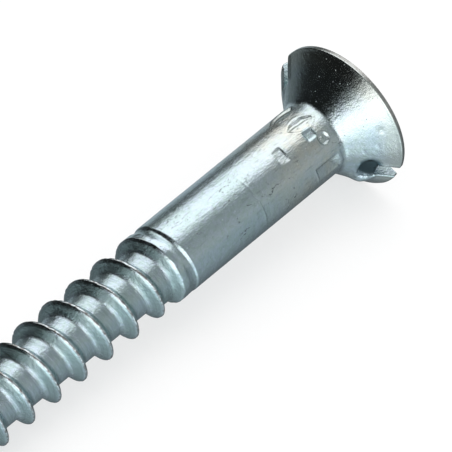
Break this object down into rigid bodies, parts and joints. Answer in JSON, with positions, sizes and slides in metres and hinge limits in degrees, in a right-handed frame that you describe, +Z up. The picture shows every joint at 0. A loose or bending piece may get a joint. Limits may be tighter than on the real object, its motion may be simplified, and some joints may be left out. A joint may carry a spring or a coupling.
{
  "type": "wood screw",
  "caption": "Slotted countersunk wood screw with a plain shank, a coarse right-hand thread and a gimlet point, in bright zinc-plated steel.",
  "frame": {"origin": "centre of the bottom of the screw's bounding box, on the surface it lies on", "axes": "+X towards the head and +Z up, with the screw lying on its head rim and its thread, so its own axis climbs 3.6 degrees from the point to the head in the XZ plane"},
  "size_m": [0.051, 0.011, 0.011],
  "materials": {
    "zinc_plate": "gloss"
  },
  "bodies": {
    "root": {"wood_screw": "zinc_plate"}
  },
  "joints": []
}
